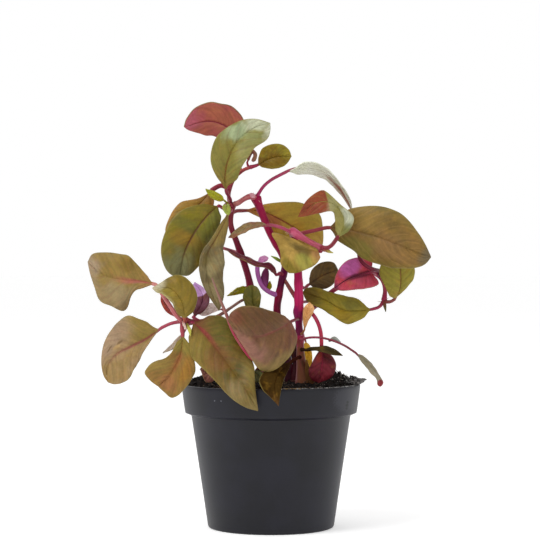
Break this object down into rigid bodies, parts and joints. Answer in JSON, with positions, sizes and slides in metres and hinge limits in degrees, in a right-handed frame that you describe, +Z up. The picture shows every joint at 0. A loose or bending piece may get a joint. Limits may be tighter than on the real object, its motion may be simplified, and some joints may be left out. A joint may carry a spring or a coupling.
{
  "type": "potted aquarium plant",
  "caption": "Potted alternanthera reineckii: magenta stems and olive, brown and red leaves in a small dark plastic nursery pot.",
  "frame": {"origin": "centre of the pot's flat base, on the surface that it stands on", "axes": "+Z up through the pot's axis, -Y towards the viewer of the picture, +X to the viewer's right"},
  "size_m": [0.1039, 0.0646, 0.1312],
  "materials": {
    "pot_plastic": "dark slate moulded plastic, satin",
    "soil": "dark damp potting substrate, matte",
    "stem": "magenta stem, satin, waxy",
    "leaf_olive": "olive leaf with a pink midrib, satin",
    "leaf_brown": "olive-brown leaf with a pinkish sheen, satin",
    "leaf_red": "red leaf, satin",
    "leaf_pale": "pale grey-green leaf, satin",
    "leaf_dry": "dried tan leaf, matte"
  },
  "bodies": {
    "root": {"centre_stem": "stem", "leaf_arching": "leaf_pale", "leaf_back_centre": "leaf_olive", "leaf_back_low": "leaf_olive", "leaf_back_middle": "leaf_olive", "leaf_back_oval": "leaf_brown", "leaf_back_right": "leaf_brown", "leaf_back_upper_left": "leaf_olive", "leaf_back_wavy": "leaf_olive", "leaf_bottom_left": "leaf_brown", "leaf_centre_pale": "leaf_olive", "leaf_crescent": "leaf_red", "leaf_cup": "leaf_olive", "leaf_curled": "leaf_pale", "leaf_dried": "leaf_dry", "leaf_edge_dark": "leaf_brown", "leaf_edge_left": "leaf_brown", "leaf_front": "leaf_olive", "leaf_hanging": "leaf_brown", "leaf_left_back": "leaf_brown", "leaf_left_front": "leaf_olive", "leaf_lilac_stalk": "leaf_olive", "leaf_low_dark": "leaf_brown", "leaf_low_green": "leaf_olive", "leaf_low_long": "leaf_brown", "leaf_low_red": "leaf_red", "leaf_lower_left": "leaf_brown", "leaf_mauve": "leaf_brown", "leaf_mustard": "leaf_olive", "leaf_narrow": "leaf_brown", "leaf_ochre": "leaf_olive", "leaf_on_soil": "leaf_red", "leaf_pale_pink": "leaf_pale", "leaf_pink_under": "leaf_red", "leaf_purple": "leaf_red", "leaf_right_big": "leaf_brown", "leaf_right_green": "leaf_olive", "leaf_small_oval": "leaf_olive", "leaf_top_green": "leaf_olive", "leaf_top_red": "leaf_red", "leaf_top_small": "leaf_olive", "leaf_under_mauve": "leaf_brown", "leaf_upper_left": "leaf_brown", "leaf_wavy": "leaf_olive", "leaf_yellow": "leaf_olive", "leaf_young_curl": "leaf_brown", "leaf_young_small": "leaf_olive", "leaf_young_tip": "leaf_olive", "left_shoot": "stem", "left_stem": "stem", "main_stem": "stem", "pot": "pot_plastic", "right_shoot": "stem", "soil": "soil", "thin_stem": "stem", "top_side_shoot": "stem", "upper_right_shoot": "stem", "upper_shoot": "stem"}
  },
  "joints": []
}
